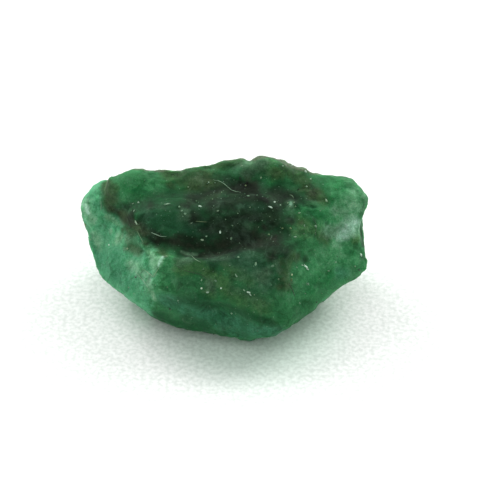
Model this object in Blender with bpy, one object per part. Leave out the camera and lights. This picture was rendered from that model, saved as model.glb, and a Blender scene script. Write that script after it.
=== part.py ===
"""A rough emerald, one broken and worn piece of a crystal, lying on its flattest break.

The stone is blocked out as a solid bounded by its natural faces and breaks. Swellings are joined to
it, scoops and one long crease are cut from it, and wear then softens every edge and leaves the
surface uneven. It is shaped in millimetres about its own middle. At the end it is scaled to its
length, turned into metres, and set down on its origin.
"""

import math

import bmesh
import bpy
from mathutils import Matrix, Vector
from mathutils.bvhtree import BVHTree

# Sizes are in millimetres, and the finished stone is this long.
MM = 0.001
LENGTH = 20.0

# The stone reaches this far below its middle, where a flat break carries it.
REST_DEPTH = 4.2

# The cube that the stone is cut from, and how finely a ball and the rod of the crease are made
CUBE_SIZE = 60.0
BALL_DIVISIONS = 4
ROD_STEPS = 6
ROD_ROUNDNESS = 3

# How finely the shape is held, how far its edges are worn round, and what is left of its triangles
VOXEL = 0.16
SOFTENING = 0.5
SOFTENING_PASSES = 20
TRIANGLES = 9200

# The faces and breaks that bound the stone: azimuth, elevation and distance from its middle.
# Azimuth 0 faces the front, 90 the right-hand end. Angles are in degrees.
FACES = {
    "top": (0, 74, 3.22),
    "top_right": (45, 68, 4.6),
    "front_slope": (0, 45, 4.1),
    "front_waist": (-14, -5, 5.76),
    "front_corner": (16, -8, 7.4),
    "left_facet": (-60, 33, 5.95),
    "front_right": (25, 40, 5.1),
    "right_facet": (46, 30, 5.85),
    "crest_left": (-172, 48, 6.0),
    "crest_middle": (180, 48, 6.45),
    "crest_right": (158, 45, 6.88),
    "shoulder_left": (-139, 40, 8.6),
    "shoulder_right": (120, 29, 10.8),
    "left_end": (-78, -13, 9.7),
    "right_end": (90, 0, 10.15),
    "under_front_left": (-47, -37, 6.75),
    "under_front_corner": (-35, -42, 6.4),
    "under_front_middle": (-15, -45, 6.05),
    "under_front_right": (20, -46, 6.7),
    "under_right": (46, -37, 7.0),
    "under_left_end": (-100, -45, 7.5),
    "under_right_end": (100, -42, 7.7),
    "back": (166, -4, 5.9),
    "back_slope": (-168, 14, 6.0),
    "back_left": (-126, -6, 10.3),
    "back_right": (126, 6, 9.65),
    "under_back": (170, -48, 5.5),
    "under_back_left": (-140, -42, 6.9),
}

# The stone shows most of its form on the side that leans this far back from upright.
# Places on that side are given across, to the right of its middle, and uphill along it.
LEAN = 42

# Swellings on that side: place, radii across, uphill and outwards, and how far each middle is lifted
SWELLINGS = {
    "left_end": ((-7.7, 2.65), (2.5, 2.3, 2.4), -2.05),
    "top_left": ((-5.8, 4.0), (2.6, 1.6, 1.6), -1.1),
    "brow_lens": ((-3.7, 1.9), (3.3, 1.5, 1.4), -0.75),
    "brow_middle": ((1.0, 2.1), (3.6, 1.9, 1.5), -0.85),
    "crest": ((2.9, 4.9), (2.6, 1.5, 1.5), -0.9),
    "right_end": ((8.0, 3.3), (2.2, 1.8, 2.5), -2.05),
    "right_low": ((8.65, -1.25), (1.55, 1.15, 1.8), -1.3),
    "knob": ((4.7, 3.1), (0.4, 0.4, 0.35), 0.0),
}

# A face whose normal points this far away from that side lies behind or below, and the swellings
# stand out of it by no more than the allowance.
BEHIND = -0.1
TRIM_ALLOWANCE = 0.15

# Scoops on that side, where chips have come away, given in the same way but square to the surface
SCOOPS = {
    "top_hollow": ((1.4, 4.4), (2.3, 1.1, 0.9), 0.68),
    "pale_hollow": ((8.0, 0.9), (2.0, 0.9, 0.8), 0.45),
}

# Scoops in the outline and at the back: middle and radii
EDGE_SCOOPS = {
    "crest_dip": ((-2.8, 7.4, 8.6), (5.85, 5.85, 5.85)),
    "crest_right_dip": ((6.2, 5.3, 6.5), (2.2, 2.6, 1.9)),
    "waist_hollow": ((-1.0, -9.6, -0.9), (4.6, 4.3, 3.0)),
    "back_hollow": ((2.4, 9.9, 1.4), (4.6, 4.6, 3.0)),
    "back_low_hollow": ((-4.6, 9.4, -3.4), (3.6, 4.2, 3.2)),
    "end_notch": ((11.0, 1.0, 0.6), (1.65, 3.4, 1.5)),
    "crest_nick": ((1.75, 4.8, 5.2), (0.5, 1.6, 0.75)),
}

# The crease under the brow: how deep its middle lies, as a share of its half width, and its places
# on the leaning side, each with the half width of the crease there
CREASE_DEPTH = 0.2
CREASE = (
    ((-7.2, 2.2), 0.3),
    ((-6.4, 1.3), 0.5),
    ((-5.1, 0.6), 0.6),
    ((-3.4, 0.15), 0.7),
    ((-1.7, 0.0), 0.8),
    ((0.1, 0.1), 0.8),
    ((1.8, 0.55), 0.65),
    ((3.2, 0.95), 0.45),
    ((4.6, 1.3), 0.25),
)

# Uneven wear: the size of its lumps and how far it moves the surface, out and in together
WEAR = {
    "swells": (2.4, 0.5),
    "lumps": (0.9, 0.13),
}

# The colour of the stone's body, and how it shines
BODY_GREEN = (0.035, 0.2, 0.075, 1.0)
ROUGHNESS = 0.35
METALLIC = 0.0


def direction(azimuth, elevation):
    """The unit vector that points at this azimuth and elevation, in degrees."""
    turn, rise = math.radians(azimuth), math.radians(elevation)
    return Vector((math.sin(turn) * math.cos(rise), -math.cos(turn) * math.cos(rise), math.sin(rise)))


def link(name, data):
    """A new object in the scene."""
    thing = bpy.data.objects.new(name, data)
    bpy.context.scene.collection.objects.link(thing)
    return thing


def helper(name, mesh, family):
    """A swelling or a cutter: it shapes the stone and isn't an object of its own."""
    thing = bpy.data.objects.new(name, mesh)
    family.objects.link(thing)
    thing.hide_render = True
    thing.display_type = "WIRE"


def cut_away(shape, normal, distance):
    """Cuts off what lies further than this along the normal, and closes the cut with a flat face."""
    everything = shape.verts[:] + shape.edges[:] + shape.faces[:]
    cut = bmesh.ops.bisect_plane(
        shape, geom=everything, plane_co=normal * distance, plane_no=normal, clear_outer=True
    )
    rim = [part for part in cut["geom_cut"] if isinstance(part, bmesh.types.BMEdge)]
    bmesh.ops.contextual_create(shape, geom=rim)


def block():
    """A large cube, cut down by each face in turn."""
    shape = bmesh.new()
    bmesh.ops.create_cube(shape, size=CUBE_SIZE)
    for azimuth, elevation, distance in FACES.values():
        cut_away(shape, direction(azimuth, elevation), distance)
    mesh = bpy.data.meshes.new("emerald")
    shape.to_mesh(mesh)
    shape.free()
    return mesh


def search_tree(stone):
    """What finds the surface of the stone as it is now."""
    shape = bmesh.new()
    shape.from_mesh(stone.data)
    tree = BVHTree.FromBMesh(shape)
    shape.free()
    return tree


def seat(tree, place):
    """The surface at this place on the leaning side: its point and the way it faces."""
    outwards = direction(0, LEAN)
    across = Vector((1, 0, 0))
    uphill = outwards.cross(across)
    start = across * place[0] + uphill * place[1] + outwards * CUBE_SIZE
    point, normal, _, _ = tree.ray_cast(start, -outwards)
    return point, normal


def ball(name, placement, radii):
    """A ball stretched to its radii."""
    shape = bmesh.new()
    bmesh.ops.create_icosphere(
        shape,
        subdivisions=BALL_DIVISIONS,
        radius=1.0,
        matrix=placement @ Matrix.Diagonal((*radii, 1.0)),
    )
    mesh = bpy.data.meshes.new(name)
    shape.to_mesh(mesh)
    shape.free()
    return mesh


def seated_ball(name, point, outwards, radii, lift):
    """A ball on the surface: radii across, uphill and outwards, its middle lifted by this much."""
    uphill = outwards.cross((1, 0, 0)).normalized()
    turn = Matrix((uphill.cross(outwards), uphill, outwards)).transposed().to_4x4()
    return ball(name, Matrix.Translation(point + outwards * lift) @ turn, radii)


def crease_cutter(tree):
    """A round rod of changing width that follows the surface along the crease."""
    path = bpy.data.curves.new("crease", "CURVE")
    path.dimensions = "3D"
    path.resolution_u = ROD_STEPS
    path.bevel_depth = 1.0
    path.bevel_resolution = ROD_ROUNDNESS
    path.use_fill_caps = True
    line = path.splines.new("BEZIER")
    line.bezier_points.add(len(CREASE) - 1)
    inwards = -direction(0, LEAN)
    for point, (place, half_width) in zip(line.bezier_points, CREASE):
        point.co = seat(tree, place)[0] + inwards * half_width * CREASE_DEPTH
        point.radius = half_width
        point.handle_left_type = point.handle_right_type = "AUTO"
    rod = link("crease_path", path)
    graph = bpy.context.evaluated_depsgraph_get()
    mesh = bpy.data.meshes.new_from_object(rod.evaluated_get(graph))
    mesh.name = "crease"
    bpy.data.objects.remove(rod)
    return mesh


def shaped(stone):
    """The stone's mesh with its modifiers worked in, and the modifiers taken off."""
    graph = bpy.context.evaluated_depsgraph_get()
    mesh = bpy.data.meshes.new_from_object(stone.evaluated_get(graph))
    stone.modifiers.clear()
    stone.data = mesh
    return mesh


def combine(stone, name, operation, shapes):
    """Joins these shapes to the stone, or takes them out of it."""
    family = bpy.data.collections.new(name)
    bpy.context.scene.collection.children.link(family)
    for shape in shapes:
        helper(shape.name, shape, family)
    step = stone.modifiers.new(name, "BOOLEAN")
    step.operand_type = "COLLECTION"
    step.collection = family
    step.operation = operation
    shaped(stone)


def join_swellings(stone):
    """Joins the swellings, each seated on the block."""
    tree = search_tree(stone)
    outwards = direction(0, LEAN)
    swellings = []
    for name, (place, radii, lift) in SWELLINGS.items():
        point, _ = seat(tree, place)
        swellings.append(seated_ball(name, point, outwards, radii, lift))
    combine(stone, "swellings", "UNION", swellings)


def trim_behind(stone):
    """Trims what the swellings added behind and below to the breaks there."""
    shape = bmesh.new()
    shape.from_mesh(stone.data)
    outwards = direction(0, LEAN)
    for azimuth, elevation, distance in FACES.values():
        normal = direction(azimuth, elevation)
        if normal.dot(outwards) < BEHIND:
            cut_away(shape, normal, distance + TRIM_ALLOWANCE)
    shape.to_mesh(stone.data)
    shape.free()


def cut_scoops(stone):
    """Cuts the scoops and the crease, each seated on the stone with its swellings."""
    tree = search_tree(stone)
    scoops = []
    for name, (place, radii, lift) in SCOOPS.items():
        point, normal = seat(tree, place)
        scoops.append(seated_ball(name, point, normal, radii, lift))
    for name, (middle, radii) in EDGE_SCOOPS.items():
        scoops.append(ball(name, Matrix.Translation(middle), radii))
    scoops.append(crease_cutter(tree))
    combine(stone, "scoops", "DIFFERENCE", scoops)


def wear(stone):
    """Rounds every edge a little, then makes the surface uneven."""
    skin = stone.modifiers.new("skin", "REMESH")
    skin.mode = "VOXEL"
    skin.voxel_size = VOXEL
    soft = stone.modifiers.new("soft", "SMOOTH")
    soft.factor = SOFTENING
    soft.iterations = SOFTENING_PASSES
    for name, (size, travel) in WEAR.items():
        noise = bpy.data.textures.new(name, "CLOUDS")
        noise.noise_scale = size
        push = stone.modifiers.new(name, "DISPLACE")
        push.texture = noise
        push.texture_coords = "LOCAL"
        push.strength = travel
        push.mid_level = 0.5


def thin_out(stone):
    """Leaves the surface with no more triangles than its form needs."""
    mesh = shaped(stone)
    mesh.calc_loop_triangles()
    fewer = stone.modifiers.new("fewer", "DECIMATE")
    fewer.ratio = TRIANGLES / len(mesh.loop_triangles)
    shaped(stone)


def rest_flat(stone):
    """Cuts the flat break that the stone rests on."""
    shape = bmesh.new()
    shape.from_mesh(stone.data)
    cut_away(shape, Vector((0, 0, -1)), REST_DEPTH)
    bmesh.ops.triangulate(shape, faces=[face for face in shape.faces if len(face.verts) > 4])
    shape.to_mesh(stone.data)
    shape.free()


def place_on_origin(stone):
    """Scales the stone to its length, in metres, and sets the middle of its underside on the origin."""
    corners = [vertex.co for vertex in stone.data.vertices]
    low = Vector(min(corner[axis] for corner in corners) for axis in range(3))
    high = Vector(max(corner[axis] for corner in corners) for axis in range(3))
    middle = (low + high) / 2
    stone.data.transform(Matrix.Translation((-middle.x, -middle.y, -low.z)))
    stone.data.transform(Matrix.Scale(MM * LENGTH / (high.x - low.x), 4))


def colour(stone):
    """Gives the stone its material and smooth shading."""
    green = bpy.data.materials.new("emerald")
    green.use_nodes = True
    surface = green.node_tree.nodes["Principled BSDF"]
    surface.inputs["Base Color"].default_value = BODY_GREEN
    surface.inputs["Roughness"].default_value = ROUGHNESS
    surface.inputs["Metallic"].default_value = METALLIC
    stone.data.materials.clear()
    stone.data.materials.append(green)
    stone.data.shade_smooth()


def main():
    for thing in list(bpy.data.objects):
        bpy.data.objects.remove(thing)
    stone = link("emerald", block())
    join_swellings(stone)
    trim_behind(stone)
    cut_scoops(stone)
    wear(stone)
    thin_out(stone)
    rest_flat(stone)
    place_on_origin(stone)
    colour(stone)


main()
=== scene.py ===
# %% [markdown]
# # A rough emerald
# One worn, broken piece of emerald lies on pale paper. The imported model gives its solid. This lesson
# gives it a finer surface, its mica bands and pale clouds, and the small flecks that catch the light.
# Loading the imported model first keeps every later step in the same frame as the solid.

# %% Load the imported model
import math
import random

import bmesh
import bpy
import numpy as np
from mathutils import Matrix, Vector, noise
from mathutils.bvhtree import BVHTree


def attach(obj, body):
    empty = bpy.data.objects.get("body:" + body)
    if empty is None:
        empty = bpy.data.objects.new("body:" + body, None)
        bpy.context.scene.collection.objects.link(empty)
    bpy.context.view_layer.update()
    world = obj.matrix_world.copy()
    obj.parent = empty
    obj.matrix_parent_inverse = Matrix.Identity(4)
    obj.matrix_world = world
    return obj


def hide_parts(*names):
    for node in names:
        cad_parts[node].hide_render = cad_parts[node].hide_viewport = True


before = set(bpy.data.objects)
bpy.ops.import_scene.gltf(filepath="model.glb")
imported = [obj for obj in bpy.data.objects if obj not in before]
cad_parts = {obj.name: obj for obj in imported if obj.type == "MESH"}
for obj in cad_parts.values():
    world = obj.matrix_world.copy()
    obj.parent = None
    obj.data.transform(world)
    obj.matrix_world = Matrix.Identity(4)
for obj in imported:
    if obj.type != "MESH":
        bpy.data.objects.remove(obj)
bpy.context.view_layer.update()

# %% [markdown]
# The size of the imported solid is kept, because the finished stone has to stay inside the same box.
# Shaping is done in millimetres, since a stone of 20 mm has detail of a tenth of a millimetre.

MM = 0.001

# %% [markdown]
# Most of what the stone shows lies on the side that leans back, 42 degrees from upright. A place on
# that side is easy to give by two numbers: how far across it lies, to the right of the middle of the
# stone, and how far uphill. A third number, outwards, runs towards the viewer. The three directions
# make a second frame, and every pattern in this lesson is placed in it.

# %% The leaning side of the stone
LEAN = 42
STONE_MIDDLE = Vector((0.018, 0.135, 4.157))
lean = math.radians(LEAN)
across = Vector((1, 0, 0))
outwards = Vector((0, -math.cos(lean), math.sin(lean)))
uphill = outwards.cross(across)
print("uphill runs along", [round(value, 3) for value in uphill])

# %% [markdown]
# The camera looks straight at the leaning side. A long lens from 180 mm away keeps the outline free of
# distortion, as a close-up picture of a small stone has it. The field is 34.6 mm wide, and the stone
# lies a little left of its middle.

# %% Camera
FIELD_WIDTH = 34.6
CAMERA_DISTANCE = 180
SENSOR_WIDTH = 36
AIM = (1.8, -0.14)
camera_data = bpy.data.cameras.new("camera")
camera_data.sensor_width = SENSOR_WIDTH
camera_data.lens = SENSOR_WIDTH * CAMERA_DISTANCE / FIELD_WIDTH
camera_data.clip_start = CAMERA_DISTANCE / 10 * MM
camera = bpy.data.objects.new("camera", camera_data)
target = STONE_MIDDLE + across * AIM[0] + uphill * AIM[1]
camera.matrix_world = (
    Matrix.Translation((target + outwards * CAMERA_DISTANCE) * MM)
    @ Matrix((across, uphill, outwards)).transposed().to_4x4()
)
bpy.context.scene.collection.objects.link(camera)
bpy.context.scene.camera = camera
print("lens of", round(camera_data.lens), "mm")

# %% [markdown]
# Node trees are easier to read when each node is placed by one call. These helpers make a node, set
# its options and fill its inputs. The last five make the kinds of nodes that are needed most.

# %% Helpers for node trees
def fill(tree, node, inputs):
    """Fills a node's inputs: a socket is linked, and anything else is set as a plain value."""
    for key, value in inputs.items():
        if isinstance(value, bpy.types.NodeSocket):
            tree.links.new(value, node.inputs[key])
        else:
            node.inputs[key].default_value = value


def put(tree, kind, inputs=None, **options):
    """Adds a node, with its options set and its inputs filled in."""
    node = tree.nodes.new(kind)
    for option, value in options.items():
        setattr(node, option, value)
    fill(tree, node, inputs or {})
    return node


def math_node(tree, operation, first, second=0.0, third=0.0, clamp=False):
    """One sum on numbers, as a socket."""
    inputs = {0: first, 1: second, 2: third}
    return put(tree, "ShaderNodeMath", inputs, operation=operation, use_clamp=clamp).outputs[0]


def vector_node(tree, operation, first, second=(0.0, 0.0, 0.0)):
    """One sum on vectors, as a socket."""
    inputs = {0: first, 1: second}
    return put(tree, "ShaderNodeVectorMath", inputs, operation=operation).outputs[0]


def mix_colours(tree, share, first, second, blend="MIX"):
    """One colour laid over another by a share."""
    inputs = {0: share, 6: first, 7: second}
    node = put(tree, "ShaderNodeMix", inputs, data_type="RGBA", blend_type=blend)
    return node.outputs[2]


def smooth_step(tree, value, low, high, top=1.0):
    """Nothing below low, the top value above high, and a smooth rise between them."""
    inputs = {"Value": value, "From Min": low, "From Max": high, "To Min": 0.0, "To Max": top}
    return put(tree, "ShaderNodeMapRange", inputs, interpolation_type="SMOOTHSTEP").outputs[0]


def spread(tree, value, low, high):
    """The middle part of a noise, from 0.3 to 0.7, spread evenly from low to high."""
    inputs = {"Value": value, "From Min": 0.3, "From Max": 0.7, "To Min": low, "To Max": high}
    return put(tree, "ShaderNodeMapRange", inputs).outputs[0]


# %% [markdown]
# Three large soft lamps stand behind the stone, one in the middle and one to each side, and a white
# room fills in from all around. The shadow on the paper is then short, soft, and darkest towards the
# viewer. A worn stone would look milky if its gloss mirrored the whole white room, so glossy rays see
# the room dimmed, as with a dark card round the lens. The standard view keeps white paper white.

# %% Soft studio light
ROOM_STRENGTH = 0.76
ROOM_IN_GLOSS = 0.2
LAMP_SIZE = 200
LAMPS = {
    "back lamp": ((0, 235, 235), 0.14),
    "left lamp": ((-190, 190, 190), 0.68),
    "right lamp": ((190, 190, 190), 0.62),
}
scene = bpy.context.scene
scene.view_settings.view_transform = "Standard"
room = bpy.data.worlds.new("white room")
room.use_nodes = True
tree = room.node_tree
rays = put(tree, "ShaderNodeLightPath").outputs
dimmed = ROOM_IN_GLOSS - ROOM_STRENGTH
strength = math_node(tree, "MULTIPLY_ADD", rays["Is Glossy Ray"], dimmed, ROOM_STRENGTH)
strength = math_node(tree, "MULTIPLY_ADD", rays["Is Camera Ray"], 1.0 - ROOM_STRENGTH, strength)
fill(tree, tree.nodes["Background"], {"Color": (1.0, 1.0, 1.0, 1.0), "Strength": strength})
scene.world = room
for name, (place, watts) in LAMPS.items():
    place = Vector(place)
    lamp_data = bpy.data.lights.new(name, "AREA")
    lamp_data.energy = watts
    lamp_data.size = LAMP_SIZE * MM
    lamp = bpy.data.objects.new(name, lamp_data)
    turn = place.to_track_quat("Z", "Y").to_matrix().to_4x4()
    lamp.matrix_world = Matrix.Translation(place * MM) @ turn
    scene.collection.objects.link(lamp)
    print(name, round(place.length), "mm from the stone")

# %% [markdown]
# The stone lies on white paper. Its fibres make a fine grain that shows only in the shadow, as small
# soft blotches of grey. A noise of 0.28 mm gives them, in the colour and as a bump.
# Some light reaches the paper through the stone; its faint green cast on the paper in front is painted
# light, mixed into the paper's colour.

# %% Paper
PAPER_SIZE = 2000
PAPER_WHITE = (0.96, 0.98, 0.96, 1.0)
PAPER_GREY = (0.76, 0.8, 0.765, 1.0)
PAINTED_GREEN_LIGHT = (0.85, 0.98, 0.9, 1.0)
GLOW_CENTRE = (2, -3, 0)
GLOW_START = 3.5
GLOW_END = 8.5
FIBRE_SIZE = 0.28
FIBRE_RELIEF = 0.06
PAPER_ROUGHNESS = 0.9
PAPER_GLOSS = 0.2
paper_skin = bpy.data.materials.new("paper")
paper_skin.use_nodes = True
tree = paper_skin.node_tree
surface = tree.nodes["Principled BSDF"]
where = put(tree, "ShaderNodeTexCoord").outputs["Object"]
grain = {"Vector": where, "Scale": 1 / (FIBRE_SIZE * MM), "Detail": 3.0}
fibres = put(tree, "ShaderNodeTexNoise", grain).outputs[0]
blotches = smooth_step(tree, fibres, 0.3, 0.7)
paper_colour = mix_colours(tree, blotches, PAPER_WHITE, PAPER_GREY)
centre = [value * MM for value in GLOW_CENTRE]
far_off = put(tree, "ShaderNodeVectorMath", {0: where, 1: centre}, operation="DISTANCE")
painted_light_share = smooth_step(tree, far_off.outputs["Value"], GLOW_END * MM, GLOW_START * MM)
relief = put(tree, "ShaderNodeBump", {"Height": fibres, "Strength": 0.5, "Distance": FIBRE_RELIEF * MM})
fill(tree, surface, {
    "Base Color": mix_colours(tree, painted_light_share, paper_colour, PAINTED_GREEN_LIGHT, "MULTIPLY"),
    "Normal": relief.outputs[0],
    "Roughness": PAPER_ROUGHNESS,
    "Specular IOR Level": PAPER_GLOSS,
})
shape = bmesh.new()
bmesh.ops.create_grid(shape, x_segments=1, y_segments=1, size=PAPER_SIZE * MM / 2)
paper_mesh = bpy.data.meshes.new("paper")
shape.to_mesh(paper_mesh)
shape.free()
paper_mesh.materials.append(paper_skin)
paper = bpy.data.objects.new("paper", paper_mesh)
scene.collection.objects.link(paper)
print("paper of", PAPER_SIZE, "mm with fibres of", FIBRE_SIZE, "mm")

# %% [markdown]
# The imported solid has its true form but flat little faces. A copy of it is merged, covered again
# with small even faces by a voxel remesh, and smoothed until the flat faces are gone. The work is
# done in millimetres, because in metres such small voxels are at the limit of the modifier.

# %% A finer stone
VOXEL = 0.1
SOFTENING_PASSES = 6
SAME_POINT = 0.001
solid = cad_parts["emerald"]
mesh = solid.data.copy()
mesh.name = "emerald_stone"
mesh.transform(Matrix.Scale(1 / MM, 4))
shape = bmesh.new()
shape.from_mesh(mesh)
bmesh.ops.remove_doubles(shape, verts=shape.verts, dist=SAME_POINT)
shape.to_mesh(mesh)
shape.free()
stone = bpy.data.objects.new("emerald_stone", mesh)
scene.collection.objects.link(stone)
skin = stone.modifiers.new("even faces", "REMESH")
skin.mode = "VOXEL"
skin.voxel_size = VOXEL
soft = stone.modifiers.new("soft", "SMOOTH")
soft.iterations = SOFTENING_PASSES


def work_in(thing):
    """Gives the object the mesh that its modifiers make, and takes the modifiers off."""
    graph = bpy.context.evaluated_depsgraph_get()
    made = bpy.data.meshes.new_from_object(thing.evaluated_get(graph))
    thing.modifiers.clear()
    thing.data = made
    return made


mesh = work_in(stone)
print("the finer stone has", len(mesh.polygons), "faces")

# %% [markdown]
# The same stone has many zones: a pale mint end, brown and black mica bands, a chalky seam, a milky
# patch. A few zones, or strokes in them, are painted light and shade instead: shade in the crease,
# on a ridge and along the lower edge, a pale line of edge light along the outline, sheen on the top
# edge and highlights on the thin ends. Each zone is drawn as strokes on the leaning side, as a painter
# would: places across and uphill, each with the half width of the stroke there. For each point of the
# stone the function below gives 1 on a stroke's line, 0 at its edge and less beyond.

# %% How far a point lies inside a stroke
def stroke_field(points, strokes):
    """The strongest of the strokes at each point, from 1 on a line down to -1 well outside."""
    field = np.full(len(points), -1.0)
    for stroke in strokes:
        ends = stroke if len(stroke) > 1 else (stroke[0], stroke[0])
        for (x0, y0, width0), (x1, y1, width1) in zip(ends, ends[1:]):
            start = np.array((x0, y0))
            along = np.array((x1 - x0, y1 - y0))
            length = max(float(along @ along), 1e-9)
            share = np.clip((points - start) @ along / length, 0, 1)
            gap = np.linalg.norm(points - start - share[:, None] * along, axis=1)
            field = np.maximum(field, 1 - gap / (width0 + (width1 - width0) * share))
    return field


def places_of(mesh):
    """Each vertex of a mesh in millimetres, as across and uphill, and as outwards."""
    points = np.empty(len(mesh.vertices) * 3, np.float32)
    mesh.vertices.foreach_get("co", points)
    points = points.reshape(-1, 3) - np.array(STONE_MIDDLE)
    places = np.stack((points @ np.array(across), points @ np.array(uphill)), axis=1)
    return places, points @ np.array(outwards)

# %% [markdown]
# The long crease under the brow is worn: its lips are round, and nothing in it catches the light.
# Towards the right it grows faint and ends. The solid's crease has thin lips, so the surface is
# smoothed further there, longest in the faint part, and the notch of the right-hand end is worn in
# the same way. A vertex group that follows strokes keeps the smoothing in its place.

# %% Wear the crease and the notch
CREASE = (
    ((-7.5, 2.6, 1.2), (-6.5, 1.3, 1.3), (-5.1, 0.4, 1.5), (-3.4, -0.4, 1.8),
     (-1.7, -0.7, 1.9), (0.1, -0.6, 1.9), (1.8, 0, 1.8), (3.2, 0.6, 1.5), (4.6, 1.1, 1.2)),
)
LIP_PASSES = 90
FAINT_PART = (((0.4, -0.3, 1.2), (1.8, 0.2, 1.8), (3.2, 0.7, 1.8), (4.8, 1.2, 1.4)),)
FAINT_PASSES = 220
NOTCH = (((9.2, 2.4, 1.2), (9.3, 0.8, 1.3), (9.3, -0.4, 1.2)),)


def wear(stone, name, strokes, passes):
    """Smooth the stone along strokes, on the side that the photograph shows."""
    places, depths = places_of(stone.data)
    nearness = np.clip(stroke_field(places, strokes) * 2, 0, 1) * (depths > 0)
    group = stone.vertex_groups.new(name=name)
    for index in np.flatnonzero(nearness):
        group.add([int(index)], float(nearness[index]), "REPLACE")
    smoothing = stone.modifiers.new(name, "SMOOTH")
    smoothing.vertex_group = name
    smoothing.iterations = passes
    print("smoothed", int((nearness > 0).sum()), "points along the", name)
    return work_in(stone)


mesh = wear(stone, "crease", CREASE, LIP_PASSES)
mesh = wear(stone, "faint part", FAINT_PART, FAINT_PASSES)
mesh = wear(stone, "notch", NOTCH, LIP_PASSES)

# %% [markdown]
# A node group is a tree with named sockets of its own. Geometry Nodes and shader groups are both
# made this way: the first helper makes an empty one, the second closes a geometry tree with plain
# mesh and a material, and the third sets the values of a modifier that runs one.

# %% Helpers for node groups
NUMBERS = {float: "NodeSocketFloat", int: "NodeSocketInt"}


def new_tree(name, kind, inputs, outputs):
    """An empty node group with its two end nodes. An input is given as a number or as a socket type."""
    tree = bpy.data.node_groups.new(name, kind)
    for socket, value in inputs.items():
        socket_type = NUMBERS.get(type(value), value)
        made = tree.interface.new_socket(socket, in_out="INPUT", socket_type=socket_type)
        if type(value) in NUMBERS:
            made.default_value = value
    for socket, socket_type in outputs.items():
        tree.interface.new_socket(socket, in_out="OUTPUT", socket_type=socket_type)
    return tree, tree.nodes.new("NodeGroupInput").outputs, tree.nodes.new("NodeGroupOutput").inputs


def finish(tree, geometry, material, result):
    """Ends a geometry tree: instances become plain mesh, and the mesh gets its material."""
    real = put(tree, "GeometryNodeRealizeInstances", {"Geometry": geometry}).outputs[0]
    coated = put(tree, "GeometryNodeSetMaterial", {"Geometry": real, "Material": material}).outputs[0]
    tree.links.new(coated, result)


def set_inputs(modifier, values):
    """Sets the inputs of a Geometry Nodes modifier, each by its socket's identifier."""
    for item in modifier.node_group.interface.items_tree:
        if item.item_type == "SOCKET" and item.in_out == "INPUT" and item.name in values:
            modifier[item.identifier] = values[item.name]

# %% [markdown]
# Wear and old growth leave the surface lumpy. Three layers of noise make it so, from wide lumps down
# to a fine grain, and scattered cells leave small pits. The middle layer is drawn out along the stone,
# as the mineral grew in layers. Geometry Nodes move each point along its own normal. The break that
# the stone rests on stays flat.

# %% Uneven skin
GEOMETRY_OUT = {"Geometry": "NodeSocketGeometry"}
NOISE_MIDDLE = 0.55
DRAWN_OUT = (0.3, 1.0, 1.0)
FLAT_UP_TO = 0.02
UNEVEN_FROM = 0.3


def uneven_skin():
    """A tree that moves the surface in and out."""
    sizes = {
        "Geometry": "NodeSocketGeometry",
        "Material": "NodeSocketMaterial",
        "Lump Size": 1.1,
        "Lump Height": 0.3,
        "Layer Size": 0.45,
        "Layer Height": 0.06,
        "Grain Size": 0.22,
        "Grain Height": 0.04,
        "Pit Size": 0.9,
        "Pit Depth": 0.1,
    }
    tree, given, result = new_tree("uneven skin", "GeometryNodeTree", sizes, GEOMETRY_OUT)
    where = put(tree, "GeometryNodeInputPosition").outputs[0]
    turned = put(tree, "ShaderNodeVectorRotate", {"Vector": where, "Angle": math.pi / 2 - lean},
                 rotation_type="X_AXIS", invert=True).outputs[0]

    def layer(size, height, vector, detail):
        scale = math_node(tree, "DIVIDE", 1.0, given[size])
        waves = put(tree, "ShaderNodeTexNoise", {"Vector": vector, "Scale": scale, "Detail": detail})
        above = math_node(tree, "SUBTRACT", waves.outputs[0], NOISE_MIDDLE)
        return math_node(tree, "MULTIPLY", above, given[height])

    drawn_out = vector_node(tree, "MULTIPLY", turned, DRAWN_OUT)
    total = layer("Lump Size", "Lump Height", where, 2.0)
    total = math_node(tree, "ADD", total, layer("Layer Size", "Layer Height", drawn_out, 2.0))
    total = math_node(tree, "ADD", total, layer("Grain Size", "Grain Height", where, 3.0))
    cells = {"Vector": where, "Scale": math_node(tree, "DIVIDE", 1.0, given["Pit Size"])}
    cell = put(tree, "ShaderNodeTexVoronoi", cells)
    bowl = smooth_step(tree, cell.outputs["Distance"], 0.3, 0.05)
    chance = put(tree, "ShaderNodeSeparateXYZ", {0: cell.outputs["Color"]}).outputs[0]
    picked = smooth_step(tree, chance, 0.45, 0.6)
    pits = math_node(tree, "MULTIPLY", math_node(tree, "MULTIPLY", bowl, picked), given["Pit Depth"])
    total = math_node(tree, "SUBTRACT", total, pits)
    height = put(tree, "ShaderNodeSeparateXYZ", {0: where}).outputs[2]
    total = math_node(tree, "MULTIPLY", total, smooth_step(tree, height, FLAT_UP_TO, UNEVEN_FROM))
    normal = put(tree, "GeometryNodeInputNormal").outputs[0]
    offset = put(tree, "ShaderNodeVectorMath", {0: normal, "Scale": total}, operation="SCALE")
    move = {"Geometry": given["Geometry"], "Offset": offset.outputs[0]}
    moved = put(tree, "GeometryNodeSetPosition", move)
    finish(tree, moved.outputs[0], given["Material"], result["Geometry"])
    return tree


emerald_skin = bpy.data.materials.new("emerald")
uneven = stone.modifiers.new("uneven skin", "NODES")
uneven.node_group = uneven_skin()
set_inputs(uneven, {"Material": emerald_skin})
mesh = work_in(stone)
print("the uneven stone has", len(mesh.vertices), "points")

# %% [markdown]
# Noise makes worn edges rough again, so four of them are smoothed once more: the lower edge of the
# right-hand end, the notch above it, the upper rim of the brow, and the lower lip of the crease.

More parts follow.
